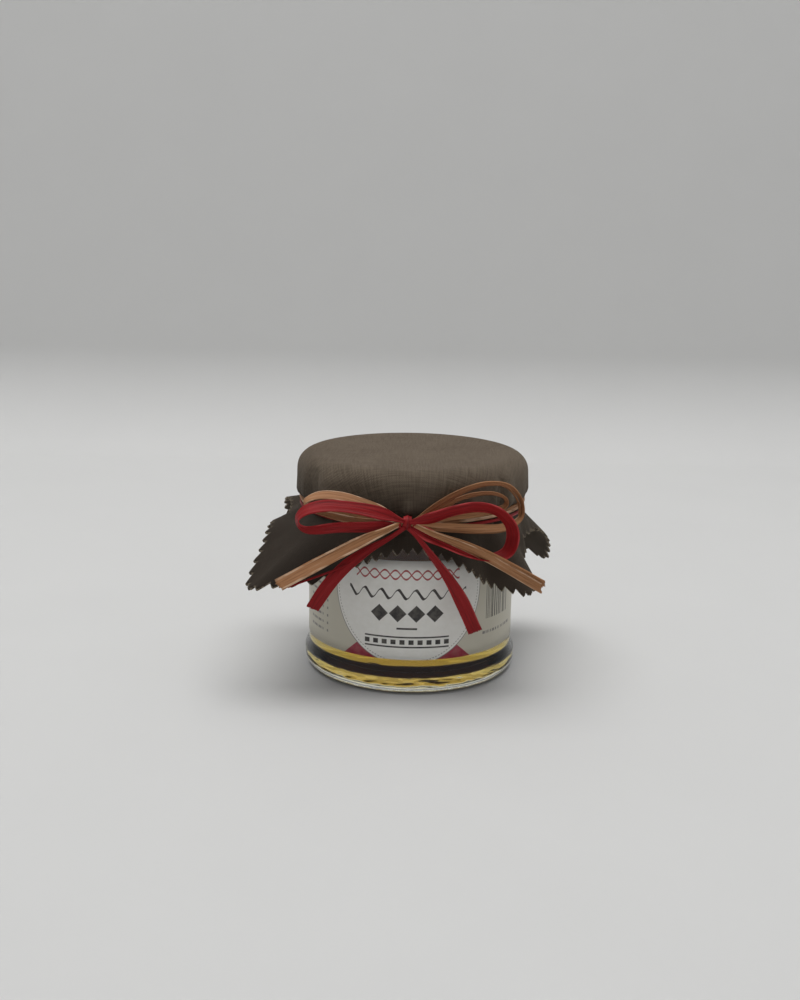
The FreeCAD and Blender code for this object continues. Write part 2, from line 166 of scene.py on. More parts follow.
# %% Colours and a way to wire a finish
def paint(red, green, blue):
    """Each share s of 255 becomes s / 12.92 when dark, otherwise ((s + 0.055) / 1.055) to the power 2.4."""
    share = np.array([red, green, blue]) / 255
    light = np.where(share < 0.0405, share / 12.92, ((share + 0.055) / 1.055) ** 2.4)
    return (*light.tolist(), 1.0)


class Finish:
    """A material, and short ways to add nodes before its shader. Each way returns the node's output."""

    def __init__(self, name, **fixed):
        self.material = bpy.data.materials.new(name)
        self.material.use_nodes = True
        self.nodes = self.material.node_tree.nodes
        self.shader = self.nodes["Principled BSDF"]
        for socket, value in fixed.items():
            self.shader.inputs[socket.replace("_", " ")].default_value = value

    def feed(self, socket, value):
        if isinstance(value, bpy.types.NodeSocket):
            self.material.node_tree.links.new(value, socket)
        else:
            socket.default_value = value

    def node(self, kind, inputs, output=0, **settings):
        made = self.nodes.new("ShaderNode" + kind)
        for setting, value in settings.items():
            setattr(made, setting, value)
        for socket, value in inputs.items():
            self.feed(made.inputs[socket], value)
        return made.outputs[output]

    def sum(self, operation, first, second=0.0, third=0.0):
        return self.node("Math", {0: first, 1: second, 2: third}, operation=operation)

    def times(self, first, second):
        return self.sum("MULTIPLY", first, second)

    def length(self, first, second):
        """The root of the two values squared and added."""
        return self.sum("SQRT", self.sum("MULTIPLY_ADD", first, first, self.times(second, second)))

    def mix(self, share, first, second):
        return self.node("Mix", {0: share, 6: first, 7: second}, output=2, data_type="RGBA")

    def fade(self, value, start, end, low=0.0, high=1.0):
        """low up to start, high from end on, and a soft step between."""
        return self.node("MapRange", {0: value, 1: start, 2: end, 3: low, 4: high},
                         interpolation_type="SMOOTHSTEP")

    def stretched(self, place, scale):
        return self.node("Mapping", {"Vector": place, "Scale": scale})

    def noise(self, place, scale, detail=2.0, roughness=0.5):
        return self.node("TexNoise", {"Vector": place, "Scale": scale, "Detail": detail,
                                      "Roughness": roughness})

    def coordinates(self, place):
        """The three coordinates of a place, each as an output of its own."""
        split = self.nodes.new("ShaderNodeSeparateXYZ")
        self.feed(split.inputs[0], place)
        return list(split.outputs)

    def flat_map(self):
        return self.node("UVMap", {}, uv_map="flat")

    def in_object(self):
        """Object coordinates in millimetres."""
        place = self.node("TexCoord", {}, output=3)
        return self.stretched(place, (1000, 1000, 1000))

    def raise_by(self, height, millimetres, strength=1.0):
        """Bump, as if the surface stood up by height x millimetres."""
        bump = self.node("Bump", {"Height": height, "Strength": strength, "Distance": millimetres * MM})
        self.feed(self.shader.inputs["Normal"], bump)

    def colour(self, value):
        self.feed(self.shader.inputs["Base Color"], value)


# %% [markdown]
# ## The jar
# A pressed glass jar: a straight wall on a foot that bulges out a little, with a rounded inner corner.
# It could be a modelled tube with bevels. An outline carried round the axis is simpler, and the inner
# outline can be used again for the sauce. The foot's underside is pushed up a little and has a ring of
# small nibs, as moulded glass has, which catch the light at the edge of the base.

# %% The glass outline
INNER_RADIUS = sauce_radius
FLOOR = sauce_low[2]
FINISH_RADIUS = 32.9
FINISH_START = lid_edge
FOOT_ROUND = 3.6
BULGE_TOP = 5.2
BULGE_END = 9.4

outside = [(0.0, 0.9, 0), (25.0, 0.9, 4.0), (29.0, 0.0, 1.2), (bulge_radius, 0.0, FOOT_ROUND),
           (bulge_radius, BULGE_TOP + 0.9, 2.5), (wall_radius, BULGE_END - 0.6, 1.6),
           (wall_radius, FINISH_START - 2.0, 1.0), (FINISH_RADIUS, FINISH_START, 1.0),
           (FINISH_RADIUS, glass_high[2], 0.8), (INNER_RADIUS + 0.1, glass_high[2], 0.6)]
inside = [(INNER_RADIUS, FINISH_START - 3.0, 2.0), (INNER_RADIUS, FLOOR, 4.0), (0.0, FLOOR + 0.2, 0)]
glass_outline = rounded_outline(outside + inside)
print(f"glass outline: {len(glass_outline)} points, inner radius {INNER_RADIUS:.1f} mm")

# %% [markdown]
# Glass is clear, with a faint grey-green cast that each crossing of its surface adds a little to. Light
# bends where it goes from air into glass. It hardly bends from glass into syrup, because both bend light
# about as much. So the wall has a second finish where the syrup wets it, with an index that is the ratio
# of the two. An absorption inside the glass would be truer, but a body that absorbs can have one finish
# only: light has to leave it by the same finish as it came in. Pressed glass is never quite even. The
# nibs under the foot and the ripples of the foot's side are bumps that fade out above them.

# %% Glass finishes
GLASS_INDEX, SYRUP_INDEX = 1.5, 1.47
WETTED_INDEX = GLASS_INDEX / SYRUP_INDEX
CLEAR = {"Roughness": 0.0, "Transmission_Weight": 1.0}
clear_glass = Finish("clear_glass", Base_Color=(0.93, 0.95, 0.93, 1), IOR=GLASS_INDEX, **CLEAR)
wetted_glass = Finish("wetted_glass", Base_Color=(0.97, 0.98, 0.97, 1), IOR=WETTED_INDEX, **CLEAR)
place = clear_glass.in_object()
across, back, height = clear_glass.coordinates(place)
from_axis = clear_glass.length(across, back)
at_base = clear_glass.times(clear_glass.fade(height, 1.6, 0.5), clear_glass.fade(from_axis, 27.5, 29.0))
nibs = clear_glass.fade(clear_glass.noise(place, 0.9, detail=1.0), 0.45, 0.62)
nibs = clear_glass.times(nibs, at_base)
ripples = clear_glass.noise(clear_glass.stretched(place, (1, 1, 1.5)), 0.16, detail=1.0)
in_foot = clear_glass.fade(height, BULGE_END, BULGE_TOP, 0.0, 0.55)
ripples = clear_glass.times(ripples, in_foot)
clear_glass.raise_by(clear_glass.sum("MULTIPLY_ADD", nibs, 0.5, ripples), 0.5, strength=0.6)
print("glass bends light by", GLASS_INDEX, "and next to the syrup by", round(WETTED_INDEX, 3))


def face_centres(piece):
    """Radius and height of the middle of each face, in millimetres."""
    centres = np.empty(len(piece.data.polygons) * 3)
    piece.data.polygons.foreach_get("center", centres)
    centres = centres.reshape(-1, 3) / MM
    return np.hypot(centres[:, 0], centres[:, 1]), centres[:, 2]


def finish_where(piece, material, where):
    """Gives a second material to the faces where the condition holds."""
    piece.data.materials.append(material)
    piece.data.polygons.foreach_set("material_index", where.astype(np.int32))
    print(piece.name, int(where.sum()), "of", len(where), "faces in", material.name)


jar = turned("jar_glass", glass_outline, clear_glass.material)
face_radius, face_height = face_centres(jar)
FILL = sauce_high[2]
finish_where(jar, wetted_glass.material, (face_radius < INNER_RADIUS + 0.01) & (face_height > FLOOR - 0.01)
             & (face_height < FILL + 1.0))
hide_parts("glass_jar")
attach(jar, "root")

# %% [markdown]
# ## The sauce
# Caramel is a clear amber syrup. It looks yellow where light passes through a little of it and nearly
# black through the whole jar. No surface colour does that. The sauce is a clear body that absorbs blue
# first, then green, and the thickness does the rest. Its sides reach a little way into the glass, so no
# gap of air shows between the two. The bending is already done by the wetted wall, so the sauce's own
# surface bends nothing. Its edge curls up a little where it wets the wall.

# %% The caramel
INTO_GLASS = 0.2
caramel_outline = rounded_outline([
    (0.0, FLOOR - INTO_GLASS, 0), (INNER_RADIUS + INTO_GLASS, FLOOR - INTO_GLASS, 4.0 + INTO_GLASS),
    (INNER_RADIUS + INTO_GLASS, FILL + 1.2, 0), (INNER_RADIUS - 0.5, FILL + 0.5, 0.6),
    (INNER_RADIUS - 2.0, FILL, 1.0), (0.0, FILL, 0)])


def absorbing(finish, colour, density):
    """Fills the piece with a body that takes (1 - colour) x density of the light for each metre."""
    body = finish.nodes.new("ShaderNodeVolumeAbsorption")
    body.inputs["Color"].default_value = colour
    body.inputs["Density"].default_value = density
    finish.material.node_tree.links.new(body.outputs[0], finish.nodes["Material Output"].inputs["Volume"])
    return finish


AMBER = (0.93, 0.76, 0.0, 1)
amber_syrup = absorbing(Finish("amber_syrup", Base_Color=(1, 1, 1, 1), IOR=1.0, **CLEAR), AMBER, 72.0)
sauce = turned("caramel_sauce", caramel_outline, amber_syrup.material)
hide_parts("caramel")
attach(sauce, "root")
print(f"sauce fills the jar up to {FILL:.0f} mm")

# %% [markdown]
# ## The label
# A strip of printed paper goes round the wall, and its ends meet at the back, on the right. It is a grid of
# direction and height, with a little thickness. Its flat map is the strip laid out in millimetres, so
# the print can be drawn as on paper: distance round the jar from the middle of the front, and height.

# %% A sheet of label paper
LABEL_GAP, SEAM_TURN = 0.6, 40.0
label_radius = label_high[0]
seam = 90 - SEAM_TURN
directions = np.radians(np.linspace(seam - 360 + LABEL_GAP / 2, seam - LABEL_GAP / 2, 241))
heights = np.linspace(label_low[2], label_high[2], 9)
direction_grid, height_grid = np.meshgrid(directions, heights)
label_points = np.stack([label_radius * np.cos(direction_grid), label_radius * np.sin(direction_grid),
                         height_grid], axis=-1)
label_map = np.stack([label_radius * (direction_grid + math.pi / 2), height_grid], axis=-1)
print(f"label: {np.ptp(label_map[..., 0]):.0f} x {np.ptp(heights):.1f} mm of paper")

# %% [markdown]
# The print is a plain design of its own: a pale medallion on a putty-coloured ground, with small crimson
# corners at its foot, and ornaments where a maker would put words. A shape is a distance with a soft
# step at its edge, and each shape lies over the ones before it.

# %% Ways to print simple shapes
class Print(Finish):
    """A finish whose colour is printed shape by shape on flat coordinates in millimetres."""

    def __init__(self, name, ground, **fixed):
        super().__init__(name, **fixed)
        self.right, self.up = self.coordinates(self.flat_map())[:2]
        self.ink = ground

    def offset(self, value, centre):
        return self.sum("SUBTRACT", value, centre)

    def within(self, value, centre, half, soft=0.06):
        """1 where the value is nearer to the centre than half."""
        return self.fade(self.sum("ABSOLUTE", self.offset(value, centre)), half + soft, half - soft)

    def distance(self, right, up):
        return self.length(self.offset(self.right, right), self.offset(self.up, up))

    def all_of(self, *masks):
        result = masks[0]
        for mask in masks[1:]:
            result = self.times(result, mask)
        return result

    def wave(self, level, reach, length, turn=0.0):
        """Height above a wave: up - level - reach x sine(right x full turn / length + turn)."""
        angle = self.sum("MULTIPLY_ADD", self.right, FULL_TURN / length, turn)
        return self.sum("SUBTRACT", self.offset(self.up, level), self.times(self.sum("SINE", angle), reach))

    def box(self, right, up, half_width, half_height):
        return self.all_of(self.within(self.right, right, half_width), self.within(self.up, up, half_height))

    def lay(self, mask, ink):
        self.ink = self.mix(mask, self.ink, ink)


# %% The label's print
PUTTY, WHITE, GREY = paint(194, 189, 173), paint(232, 231, 226), paint(124, 120, 116)
CRIMSON, NEAR_BLACK = paint(150, 34, 58), paint(38, 34, 34)
SCRIPT_RED = paint(160, 52, 58)
MEDALLION = (-1.2, 33.9, 24.4)

printed = Print("label_print", PUTTY, Roughness=0.45)
centre_right, centre_up, medallion_radius = MEDALLION
rim = printed.distance(centre_right, centre_up)
beyond = printed.fade(rim, medallion_radius - 0.05, medallion_radius + 0.05)
aside = printed.sum("ABSOLUTE", printed.offset(printed.right, centre_right))
corner = printed.fade(printed.sum("ADD", printed.times(aside, 0.88), printed.up), 29.9, 29.7)
printed.lay(printed.all_of(beyond, corner), CRIMSON)
printed.lay(printed.fade(rim, medallion_radius + 0.05, medallion_radius - 0.05), WHITE)
printed.lay(printed.within(rim, medallion_radius, 0.12), GREY)
angle = printed.sum("ARCTAN2", printed.offset(printed.up, centre_up),
                    printed.offset(printed.right, centre_right))
dotted = printed.fade(printed.sum("SINE", printed.times(angle, 150.0)), -0.2, 0.2)
printed.lay(printed.all_of(printed.within(rim, medallion_radius - 0.9, 0.1), dotted), GREY)


def in_middle(half):
    """1 where the print is nearer than half to the medallion's upright middle line."""
    return printed.within(printed.right, centre_right, half)


def row_of(half_spacing):
    """A zigzag across the medallion: 0 in its middle, and at each mark of a row half their spacing."""
    return printed.sum("PINGPONG", printed.offset(printed.right, centre_right), half_spacing)


GARLAND_UP, SWASH_UP, TOFFEES_UP, SQUARES_UP = 38.6, 32.4, 26.2, 17.0
TOFFEE_HALF_SPACING = 2.9
# A crimson garland, two waves that cross
for turn in (0.0, math.pi):
    garland = printed.within(printed.wave(GARLAND_UP, 1.4, 6.6, turn), 0, 0.3)
    printed.lay(printed.all_of(garland, in_middle(16.5)), SCRIPT_RED)
# A dark swash under it, thick where the pen falls and thin where it rises
slope = printed.sum("COSINE", printed.times(printed.right, FULL_TURN / 5.4))
pen = printed.fade(slope, 0.4, -0.9, 0.22, 0.72)
from_line = printed.sum("ABSOLUTE", printed.wave(SWASH_UP, 1.35, 5.4))
swash = printed.fade(printed.sum("SUBTRACT", from_line, pen), 0.06, -0.06)
printed.lay(printed.all_of(swash, in_middle(19.0)), NEAR_BLACK)
# A row of toffee pieces, set on their corners
sideways_off = printed.sum("SUBTRACT", TOFFEE_HALF_SPACING, row_of(TOFFEE_HALF_SPACING))
from_mark = printed.sum("ADD", sideways_off, printed.sum("ABSOLUTE", printed.offset(printed.up, TOFFEES_UP)))
printed.lay(printed.all_of(printed.fade(from_mark, 2.85, 2.65), in_middle(11.6)), NEAR_BLACK)
# A short rule, then two long ones with a row of small squares between them
for level, half, thick in ((21.4, 3.2, 0.3), (15.4, 13.4, 0.25), (18.6, 13.4, 0.25)):
    printed.lay(printed.box(centre_right, level, half, thick), NEAR_BLACK)
squares = printed.all_of(printed.within(row_of(1.4), 1.4, 0.8), printed.within(printed.up, SQUARES_UP, 0.75))
printed.lay(printed.all_of(squares, in_middle(14.0)), NEAR_BLACK)
# Small print at the left and a tally of bars at the right, as plain marks
speck = printed.noise(printed.stretched(printed.flat_map(), (1.5, 0.01, 1)), 1.0, detail=1.0)
marks = printed.fade(speck, 0.47, 0.5)
rows = printed.within(printed.sum("PINGPONG", printed.up, 1.25), 1.25, 0.4)
printed.lay(printed.all_of(rows, marks, printed.box(-35.5, 24.0, 6.5, 8.5)), GREY)
bars = printed.noise(printed.stretched(printed.flat_map(), (1.2, 0.0, 1)), 1.5, detail=2.0)
printed.lay(printed.all_of(printed.fade(bars, 0.5, 0.52), printed.box(32.6, 27.6, 6.2, 5.6)), NEAR_BLACK)
printed.lay(printed.all_of(marks, printed.box(33.5, 17.6, 8.5, 0.45)), GREY)

fibre = printed.noise(printed.flat_map(), 0.5, detail=3.0)
printed.colour(printed.mix(printed.fade(fibre, 0.3, 0.7, 0.0, 0.12), printed.ink, PUTTY))
printed.raise_by(printed.noise(printed.flat_map(), 1.8, detail=3.0), 0.05, strength=0.3)

# The glued side is seen only through the sauce. Thin paper lets a little light through from its front.
plain_paper = Finish("label_back", Roughness=0.8, Specular_IOR_Level=0.1, Subsurface_Weight=1.0,
                     Subsurface_Scale=0.3 * MM, Subsurface_Radius=(1.0, 0.95, 0.8))
plain_paper.colour(plain_paper.mix(plain_paper.noise(plain_paper.in_object(), 0.8, detail=3.0),
                                   paint(150, 122, 84), paint(170, 142, 100)))

label = grid_mesh("paper_label", label_points, printed.material, flat=label_map)
label.data.materials.append(plain_paper.material)
thicken = label.modifiers.new("paper", "SOLIDIFY")
thicken.thickness = (LABEL_PAPER - 0.02) * MM
thicken.offset = -1
thicken.material_offset = 1
thicken.material_offset_rim = 1
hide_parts("label")
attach(label, "root")
print("label:", len(label.data.polygons), "faces,", len(printed.nodes), "nodes of print")

# %% [markdown]
# ## The lid
# Under the cloth is a twist-off lid of lacquered steel. It keeps its solid from the model, and gets a
# gold lacquer with the faint brushing of rolled sheet.

# %% Lid finish
lacquer = Finish("gold_lacquer", Metallic=1.0, Roughness=0.32)
brushed = lacquer.noise(lacquer.stretched(lacquer.in_object(), (0.15, 3, 3)), 1.0, detail=3.0)
lacquer.colour(lacquer.mix(brushed, paint(176, 142, 84), paint(206, 174, 112)))
lacquer.raise_by(brushed, 0.02, strength=0.3)
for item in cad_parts["lid"].material_slots:
    item.material = lacquer.material
print("lid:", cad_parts["lid"].name, "gets", lacquer.material.name)

# %% [markdown]
# ## The cloth
# The cover is one flat square, cut with pinking shears, laid over the lid a little off centre and tied.
# A cloth simulation could hang it, but a tied cloth hardly stretches, so its shape follows from its
# flat pattern: each point keeps its distance from the middle, measured along the cloth over the lid's
# corner, down its side, in under it to the tie, and out again into the skirt.
#
# First come the few sizes of the pattern, then that line over the lid as radius and height for any
# distance. Its top is flat, its corner is a quarter round, its side is straight, and the tuck to the
# tie is half a cosine.

# %% The line of the cloth over the lid
CLOTH_SIDE = 128.0
CLOTH_THICKNESS = 0.7
CLOTH_RIGHT, CLOTH_BACK = 0.5, 3.0
SLACK = 0.8
LIFT = 0.1
TIE_DROP, TIE_CLEARANCE = 3.0, 1.1
LID_ROUND = 4.0
TEETH = 25
TOOTH_DEPTH = 2.4
CORNER_TRIM = 1.8

hung_radius = lid_radius + SLACK + CLOTH_THICKNESS / 2
tie_radius = wall_radius + TIE_CLEARANCE + CLOTH_THICKNESS / 2
tie_level = lid_edge - TIE_DROP
cloth_top = lid_top + LIFT + CLOTH_THICKNESS / 2
bend = LID_ROUND + SLACK + CLOTH_THICKNESS / 2

bend_turn = np.linspace(0, math.pi / 2, 24)
tuck_share = np.linspace(0, 1, 24)
over_lid = np.concatenate([
    [[0.0, cloth_top]],
    np.stack([hung_radius - bend + bend * np.sin(bend_turn), cloth_top - bend + bend * np.cos(bend_turn)], 1),
    np.stack([hung_radius + (tie_radius - hung_radius) * (0.5 - 0.5 * np.cos(math.pi * tuck_share)),
              lid_edge - TIE_DROP * tuck_share], 1)])
over_lid_length = np.concatenate([[0.0], np.cumsum(np.linalg.norm(np.diff(over_lid, axis=0), axis=1))])
USED = over_lid_length[-1]
print(f"{USED:.1f} mm of cloth from the middle to the tie, {CLOTH_SIDE / 2 - USED:.1f} mm left at the sides")

# %% [markdown]
# The skirt falls differently on each side, because the gathers lie as they like. Three tables give, by
# direction, how far it leans out, how much of its length is left after its small folds, and how far the
# cloth was drawn aside. A half cosine eases from each entry to the next.

# %% How the skirt falls
SKIRT_LEAN = [(5, 28), (22, 47), (38, 41), (90, 20), (130, 30), (156, 78), (174, 50), (197, 72), (219, 56),
              (238, 31), (272, 14), (300, 26), (317, 38), (345, 13)]
SKIRT_SHARE = [(22, 1.0), (156, 0.7), (190, 0.95), (215, 1.0), (270, 1.0), (300, 0.98), (318, 0.77),
               (345, 0.84)]
DRAWN_ASIDE = [(0, -1), (45, -9), (90, -2), (134, 6), (180, -2), (224, -5), (250, 0), (317, -1)]
SKIRT_TURN = 6.2


def by_direction(table, direction):
    """low + (high - low) x (1 - cosine(share of the gap x half turn)) / 2, round the circle."""
    degrees, value = np.array(table + [(table[0][0] + 360, table[0][1])], dtype=float).T
    place = degrees[0] + (np.degrees(direction) - degrees[0]) % 360
    after = np.clip(np.searchsorted(degrees, place, side="right"), 1, len(degrees) - 1)
    share = (place - degrees[after - 1]) / (degrees[after] - degrees[after - 1])
    return value[after - 1] + (value[after] - value[after - 1]) * (0.5 - 0.5 * np.cos(math.pi * share))


def hung_line(direction, distance):
    """(radius, height) of the cloth's middle: along the line over the lid, then below the tie an arc
    that turns out to the lean, and from there a straight hang."""
    lean = np.radians(by_direction(SKIRT_LEAN, direction))
    slack = np.maximum(distance - USED, 0) * by_direction(SKIRT_SHARE, direction)
    bent, straight = np.minimum(slack, SKIRT_TURN), np.maximum(slack - SKIRT_TURN, 0)
    arc = SKIRT_TURN / lean
    radius = tie_radius + arc * (1 - np.cos(lean * bent / SKIRT_TURN)) + straight * np.sin(lean)
    height = tie_level - arc * np.sin(lean * bent / SKIRT_TURN) - straight * np.cos(lean)
    above = distance <= USED
    radius = np.where(above, np.interp(distance, over_lid_length, over_lid[:, 0]), radius)
    return radius, np.where(above, np.interp(distance, over_lid_length, over_lid[:, 1]), height)


print("lean in front and at the left:", by_direction(SKIRT_LEAN, np.radians([275, 200])).round(1))

# %% [markdown]
# A round of cloth has to fit a smaller circle at the tie, so it gathers into pleats. They are sharpest at
# the tie, die out up the side of the lid, and widen into broad folds in the skirt. Each pleat is a wave
# round the jar, with its crest rounded outwards and its valley pinched. Some folds have a place of their
# own, where the cloth was pulled while it was tied.

# %% Pleats and folds
PLEATS = 17
# direction, half width in degrees, how far out (or in, below zero), from and to which distance
OWN_FOLDS = [(214, 6, -1.6, 36, 44), (225, 9, 0.9, 36, 46), (316, 2.4, -1.2, 35, 52), (322, 4, 0.9, 36, 50),
             (268, 2.0, 0.9, 42, 50), (263, 2.6, -0.7, 42, 50), (204, 8, 1.0, 38, 50), (292, 8, 0.7, 40, 52),
             (207, 5, -1.2, 56, 84), (228, 6, 1.4, 56, 84), (246, 6, -1.2, 54, 72), (258, 5, 1.2, 54, 68),
             (282, 5, -1.0, 54, 68), (293, 5, 1.4, 54, 72), (306, 5, -1.3, 54, 76), (329, 5, -1.4, 56, 76),
             (338, 4, 1.2, 56, 72), (8, 6, -1.2, 56, 74), (30, 6, 1.4, 56, 84), (52, 7, -1.6, 56, 78),
             (75, 8, 1.6, 56, 76), (110, 9, -1.4, 56, 78), (134, 7, 1.8, 56, 82)]


def soft_step(value, start, end):
    """0 before start, 1 after end, and 3 s squared - 2 s cubed between."""
    share = np.clip((value - start) / (end - start), 0, 1)
    return share * share * (3 - 2 * share)


def pleats_at(direction, distance):
    """How far the cloth stands out from its line, in millimetres."""
    wander = 0.35 * np.sin(3 * direction + 0.8) + 0.25 * np.sin(5 * direction + 2.1)
    wave = np.cos(PLEATS * direction + wander)
    pinched = wave - 0.35 * np.cos(2 * (PLEATS * direction + wander)) * (wave < 0)
    uneven = 0.75 + 0.25 * np.sin(4 * direction + 1.0)
    above = soft_step(distance, USED - 13, USED - 1)
    below = np.maximum(distance - USED, 0)
    depth = 0.5 * above * np.exp(-below / 16) * uneven
    broad = 0.035 * below * np.cos(8 * direction + 1.2 * np.sin(2 * direction))
    out = depth * pinched + broad * soft_step(below, 1, 9)
    for centre, half, reach, start, end in OWN_FOLDS:
        aside = (np.degrees(direction) - centre + 180) % 360 - 180
        along = soft_step(distance, start, (start + end) / 2)
        along = along * (1 - soft_step(distance, end, end + 8)) if start < 50 else along
        out = out + reach * along * np.exp(-(aside / half) ** 2)
    return np.where(distance < USED, np.maximum(out, -0.7), out)


# %% [markdown]
# Now the flat pattern is hung. A column of the grid runs from the middle to one place on the pinked edge,
# and its rows share out that distance, closer together where the cloth bends. The gathers draw the
# square's corners a little sideways.

# %% Hanging the flat pattern
def edge_of_square(columns):
    """Each column's end on the flat square: (x, y), with notches cut back between the teeth."""
    share = np.linspace(0, 1, columns + 1)
    side, along = np.divmod(share * 4, 1)
    tooth = np.abs(((along * TEETH) + 0.5) % 1 - 0.5) * 2
    nick = 0.25 * np.sin(columns * 0.31 * share) + 0.2 * np.sin(columns * 0.77 * share + 1)
    inset = TOOTH_DEPTH * (np.sqrt(tooth ** 2 + 0.03) - 0.17) * (1 + 0.25 * nick)
    half = CLOTH_SIDE / 2
    from_corner = half * (1 - np.abs(2 * along - 1))
    inset = np.maximum(inset, CORNER_TRIM * (1 - soft_step(from_corner, 0.5, 3.0)))
    across, up = half - inset, (half - inset) * (2 * along - 1)
    turn = side * math.pi / 2
    return (np.stack([across * np.cos(turn) - up * np.sin(turn) + CLOTH_RIGHT,
                      across * np.sin(turn) + up * np.cos(turn) + CLOTH_BACK], -1), inset)


def hung(flat_x, flat_y):
    """A flat point's place on the jar: its distance runs down the line, its direction is drawn aside,
    and the pleats push it out."""
    distance, direction = np.hypot(flat_x, flat_y), np.arctan2(flat_y, flat_x)
    direction = direction + np.radians(by_direction(DRAWN_ASIDE, direction))
    radius, height = hung_line(direction, distance)
    radius = radius + pleats_at(direction, distance)
    return np.stack([radius * np.cos(direction), radius * np.sin(direction), height], -1)


COLUMNS = 4 * TEETH * 6
ends, inset = edge_of_square(COLUMNS)
row_distance = np.concatenate([np.linspace(0.02, hung_radius - bend, 9)[:-1],
                               np.linspace(hung_radius - bend, USED - 8, 14)[:-1],
                               np.linspace(USED - 8, USED, 9)])
reach = np.linalg.norm(ends, axis=1)
skirt_share = np.linspace(0, 1, 22)[1:]
along_column = np.concatenate([np.repeat(row_distance[:, None], len(reach), axis=1),
                               USED + skirt_share[:, None] * (reach - USED)])
flat = along_column[..., None] * (ends / reach[:, None])
cloth_points = hung(flat[..., 0], flat[..., 1])
print(f"cloth: {len(cloth_points)} x {COLUMNS} points, edge {reach.min():.0f} to {reach.max():.0f} mm out")

# %% [markdown]
# ## The cloth's finish
# It is a plain-woven cotton in greyish brown. Each thread goes over one and under the next. On the flat
# map a wave across each set of threads gives their roundness, and their product tells which set is on
# top. The yarn is uneven, so the waves are bent by noise, and slubs lie along the threads. Cotton has a
# short fuzz that lightens it where it is seen edge on, which is what sheen is for. The skirt below the tie
# is painted darker than the lid, as painted shade, and darkest in the left flap near the front, which is
# more painted shade. The pinked edge is paler again, because the cut fibres stand out, and a little lint
# clings to the left of the skirt.

# %% Cotton
THREAD = 0.55
cotton = Finish("brown_cotton", Roughness=0.9, Sheen_Weight=0.22, Sheen_Roughness=0.5,
                Sheen_Tint=paint(205, 190, 170), Specular_IOR_Level=0.2)
flat_place = cotton.flat_map()
wobble = cotton.noise(flat_place, 0.35, detail=2.0)
right, up = cotton.coordinates(flat_place)[:2]
warp, weft = [cotton.sum("SINE", cotton.sum("MULTIPLY_ADD", place, FULL_TURN / THREAD,
                                            cotton.times(wobble, bent)))
              for place, bent in ((right, 5), (up, -5))]
weave = cotton.sum("MULTIPLY_ADD", cotton.times(warp, weft), 0.5, 0.5)
slub_right = cotton.noise(cotton.stretched(flat_place, (0.12, 2.2, 1)), 1.0, detail=2.0)
slub_up = cotton.noise(cotton.stretched(flat_place, (2.2, 0.12, 1)), 1.0, detail=2.0)
slubs = cotton.sum("ADD", slub_right, slub_up)
worn = cotton.noise(flat_place, 0.05, detail=4.0)
from_edge = cotton.node("Attribute", {}, output=2, attribute_name="from_edge")
frayed = cotton.times(cotton.fade(from_edge, 0.45, 0.1),
                      cotton.fade(cotton.noise(flat_place, 1.6), 0.35, 0.6))
LINT_PATCH = (-46.0, -22.0, 0.0)
from_patch = cotton.node("VectorMath", {0: flat_place, 1: LINT_PATCH}, output=1, operation="DISTANCE")
specks = cotton.fade(cotton.noise(flat_place, 2.4, detail=4.0, roughness=0.8), 0.58, 0.66)
lint = cotton.times(specks, cotton.fade(from_patch, 16.0, 4.0))

from_middle = cotton.node("VectorMath", {0: flat_place}, output=1, operation="LENGTH")
# Painted shade: the skirt beyond 38 mm from the middle is darkened, as if it lay in shade under the lid.
painted_skirt_shade = cotton.fade(from_middle, 38.0, 54.0)
tone = cotton.mix(cotton.fade(slubs, 0.75, 1.25), paint(84, 73, 61), paint(106, 94, 80))
tone = cotton.mix(cotton.fade(worn, 0.35, 0.7, 0.0, 0.3), tone, paint(116, 104, 90))
tone = cotton.mix(cotton.times(painted_skirt_shade, 0.85), tone, paint(42, 34, 28))
# Painted shade: the left flap near the front is darkened further.
painted_left_flap_shade = cotton.times(cotton.fade(right, -26.0, -42.0), cotton.fade(up, 5.0, -15.0))
tone = cotton.mix(cotton.times(painted_left_flap_shade, 0.6), tone, paint(22, 16, 13))
tone = cotton.mix(cotton.fade(weave, 0.0, 0.8, 0.4, 0.0), tone, paint(48, 40, 33))
tone = cotton.mix(cotton.times(frayed, 0.55), tone, paint(172, 158, 136))
tone = cotton.mix(cotton.times(lint, 0.7), tone, paint(176, 168, 152))
cotton.colour(tone)
cotton.raise_by(cotton.sum("MULTIPLY_ADD", slubs, 0.5, weave), 0.18, strength=0.7)
print("cotton:", len(cotton.nodes), "nodes")

# %% The cloth cover
cloth = grid_mesh("cloth_square", cloth_points, cotton.material, wrap_columns=True, flat=flat)
ring = cloth_points.shape[1] - 1
edge_values = np.minimum(along_column.max(axis=0)[None] - along_column, 9.0)[:, :ring].reshape(-1)
from_edge_layer = cloth.data.attributes.new("from_edge", "FLOAT", "POINT")
from_edge_layer.data.foreach_set("value", edge_values.astype(np.float32))
close_up(cloth, 0.05)
thicken = cloth.modifiers.new("cloth", "SOLIDIFY")
thicken.thickness = CLOTH_THICKNESS * MM
thicken.offset = 0
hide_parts("cloth_cover")
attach(cloth, "root")

# %% [markdown]
# ## Raffia and ribbon
# Both are strips of crinkled paper raffia, opened out flat: they twist as they go, are squeezed narrow in
# the knot, and keep sharp folds along their length. A curve with a bevel would make a smooth tape. Here a
# strip is a grid along a path: the path is a smooth line through stations, and across it the width turns
# from front-to-back to face-on as each station says.

